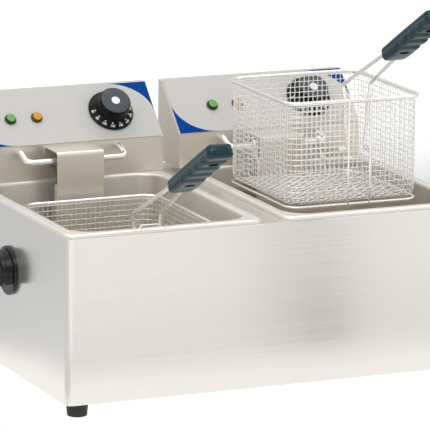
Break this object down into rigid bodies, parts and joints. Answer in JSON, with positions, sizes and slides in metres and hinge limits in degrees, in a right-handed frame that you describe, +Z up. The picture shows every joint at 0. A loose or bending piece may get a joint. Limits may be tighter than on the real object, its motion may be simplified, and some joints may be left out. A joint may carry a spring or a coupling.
{
  "type": "deep fryer",
  "caption": "Countertop deep fryer with lift-out oil tanks, removable sloping control heads, hanger rods, and wire frying baskets with folding handles.",
  "frame": {"origin": "on the counter, under the middle of the bounding box", "axes": "+Z up, +X to the right of a person at the front, +Y to the back"},
  "size_m": [0.595, 0.5658, 0.5031],
  "materials": {
    "brushed_steel": "brushed",
    "tank_steel": "satin pressed",
    "bright_wire": "bright drawn wire",
    "element_steel": "heat-dulled",
    "fastener": "bright zinc",
    "rubber": "matte",
    "black_gloss": "glossy moulded",
    "black_plastic": "matte moulded",
    "bakelite": "satin moulded",
    "ceramic_white": "matte moulded",
    "panel_grey": "satin film",
    "knob_black": "satin moulded",
    "reset_red": "glossy moulded",
    "green_lens": "glossy lens",
    "amber_lens": "glossy lens",
    "grip_teal": "glossy moulded"
  },
  "bodies": {
    "housing": {"outer_casing": "brushed_steel", "rear_panel": "brushed_steel", "top_deck": "brushed_steel", "base_plate": "brushed_steel", "divider": "brushed_steel", "rubber_feet": "rubber", "foot_screws": "fastener", "housing_screws": "fastener", "left_side_handle": "black_gloss", "right_side_handle": "black_gloss"},
    "left_tank": {"left_tank": "tank_steel"},
    "left_head": {"left_head_casing": "brushed_steel", "left_head_rear_cover": "brushed_steel", "left_faceplate": "panel_grey", "left_thermostat": "bakelite", "left_hanger_rod": "bright_wire", "left_heating_element": "element_steel", "left_element_guard": "brushed_steel", "left_sensor_bulbs": "element_steel", "left_safety_cutout": "bakelite", "left_terminal_block": "ceramic_white", "left_cable_gland": "black_plastic", "left_cover_screws": "fastener", "left_green_lamp": "green_lens", "left_amber_lamp": "amber_lens"},
    "left_knob": {"left_knob": "knob_black"},
    "left_reset_button": {"left_reset_button": "reset_red"},
    "left_basket": {"left_basket_mesh": "bright_wire", "left_basket_rim": "bright_wire", "left_basket_base_ring": "bright_wire", "left_basket_bracket": "bright_wire", "left_basket_hooks": "bright_wire"},
    "left_handle": {"left_handle_wire": "bright_wire", "left_grip_cap": "grip_teal", "left_grip_base": "grip_teal"},
    "right_tank": {"right_tank": "tank_steel"},
    "right_head": {"right_head_casing": "brushed_steel", "right_head_rear_cover": "brushed_steel", "right_faceplate": "panel_grey", "right_thermostat": "bakelite", "right_hanger_rod": "bright_wire", "right_heating_element": "element_steel", "right_element_guard": "brushed_steel", "right_sensor_bulbs": "element_steel", "right_safety_cutout": "bakelite", "right_terminal_block": "ceramic_white", "right_cable_gland": "black_plastic", "right_cover_screws": "fastener", "right_green_lamp": "green_lens", "right_amber_lamp": "amber_lens"},
    "right_knob": {"right_knob": "knob_black"},
    "right_reset_button": {"right_reset_button": "reset_red"},
    "right_basket": {"right_basket_mesh": "bright_wire", "right_basket_rim": "bright_wire", "right_basket_base_ring": "bright_wire", "right_basket_bracket": "bright_wire", "right_basket_hooks": "bright_wire"},
    "right_handle": {"right_handle_wire": "bright_wire", "right_grip_cap": "grip_teal", "right_grip_base": "grip_teal"}
  },
  "joints": [
    {"name": "left_tank_lift", "type": "slide", "parent": "housing", "child": "left_tank", "axis": [0, 0, 1], "range_m": [0, 0.2]},
    {"name": "left_head_lift", "type": "slide", "parent": "left_tank", "child": "left_head", "axis": [0, 0, 1], "range_m": [0, 0.2]},
    {"name": "left_knob_turn", "type": "hinge", "parent": "left_head", "child": "left_knob", "pos_m": [-0.0765, 0.22705, 0.30506], "axis": [0, 0.7071, -0.7071], "range_deg": [0, 270]},
    {"name": "left_reset_press", "type": "slide", "parent": "left_head", "child": "left_reset_button", "axis": [0, -1, 0], "range_m": [0, 0.003], "stiffness_N_per_m": 300},
    {"name": "left_basket_lift", "type": "slide", "parent": "left_head", "child": "left_basket", "axis": [0, 0, 1], "range_m": [0, 0.16]},
    {"name": "left_handle_fold", "type": "hinge", "parent": "left_basket", "child": "left_handle", "pos_m": [-0.1455, -0.05856, 0.1505], "axis": [-1, 0, 0], "range_deg": [0, 95]},
    {"name": "right_tank_lift", "type": "slide", "parent": "housing", "child": "right_tank", "axis": [0, 0, 1], "range_m": [0, 0.2]},
    {"name": "right_head_lift", "type": "slide", "parent": "right_tank", "child": "right_head", "axis": [0, 0, 1], "range_m": [0, 0.2]},
    {"name": "right_knob_turn", "type": "hinge", "parent": "right_head", "child": "right_knob", "pos_m": [0.206, 0.22705, 0.30506], "axis": [0, 0.7071, -0.7071], "range_deg": [0, 270]},
    {"name": "right_reset_press", "type": "slide", "parent": "right_head", "child": "right_reset_button", "axis": [0, -1, 0], "range_m": [0, 0.003], "stiffness_N_per_m": 300},
    {"name": "right_basket_lift", "type": "slide", "parent": "right_head", "child": "right_basket", "axis": [0, 0, 1], "range_m": [0, 0.16]},
    {"name": "right_handle_fold", "type": "hinge", "parent": "right_basket", "child": "right_handle", "pos_m": [0.148, -0.03816, 0.2905], "axis": [-1, 0, 0], "range_deg": [0, 95]}
  ]
}
